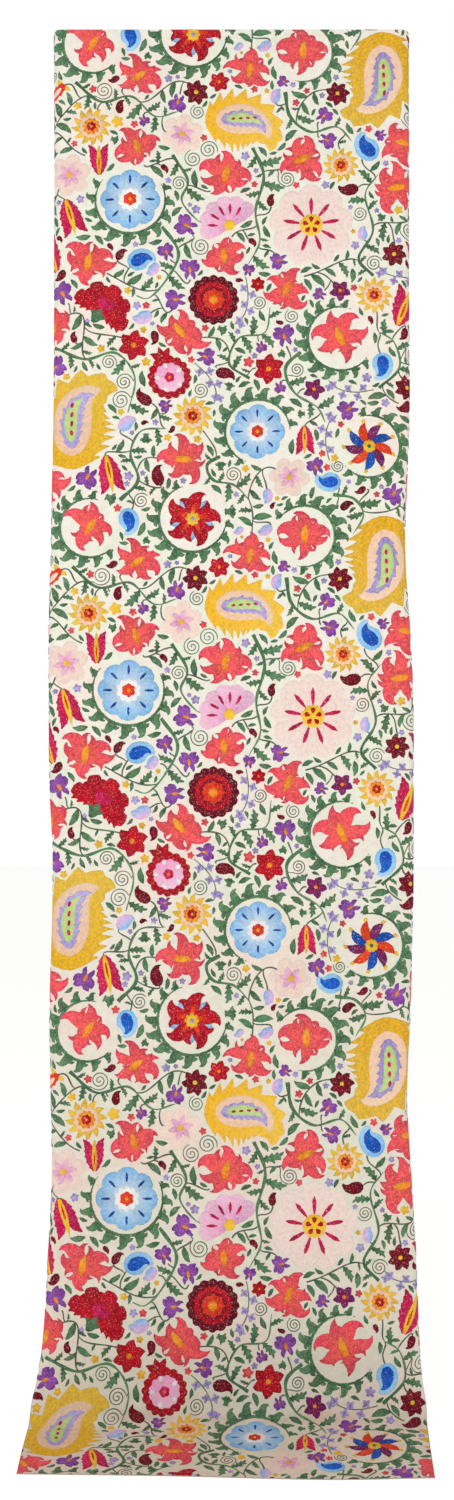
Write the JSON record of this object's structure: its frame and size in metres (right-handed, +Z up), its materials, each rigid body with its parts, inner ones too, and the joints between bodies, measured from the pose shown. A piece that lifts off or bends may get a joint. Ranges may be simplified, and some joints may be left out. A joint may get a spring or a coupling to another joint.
{
  "type": "hanging length of suzani fabric",
  "caption": "Long embroidered cloth that hangs flat from its top edge and sweeps forward onto the floor, its long edges curled slightly back.",
  "frame": {"origin": "middle of the top edge, on the back of the cloth", "axes": "+Z up along the drop, -Y out of the cloth's face towards the room, +X to the right seen from the front"},
  "size_m": [0.7308, 0.2844, 2.656],
  "materials": {
    "cloth": "cream cotton ground, plain weave, matte",
    "thread": "dyed chain-stitch thread in many colours, soft sheen"
  },
  "bodies": {
    "root": {"cloth": "cloth"}
  },
  "joints": []
}
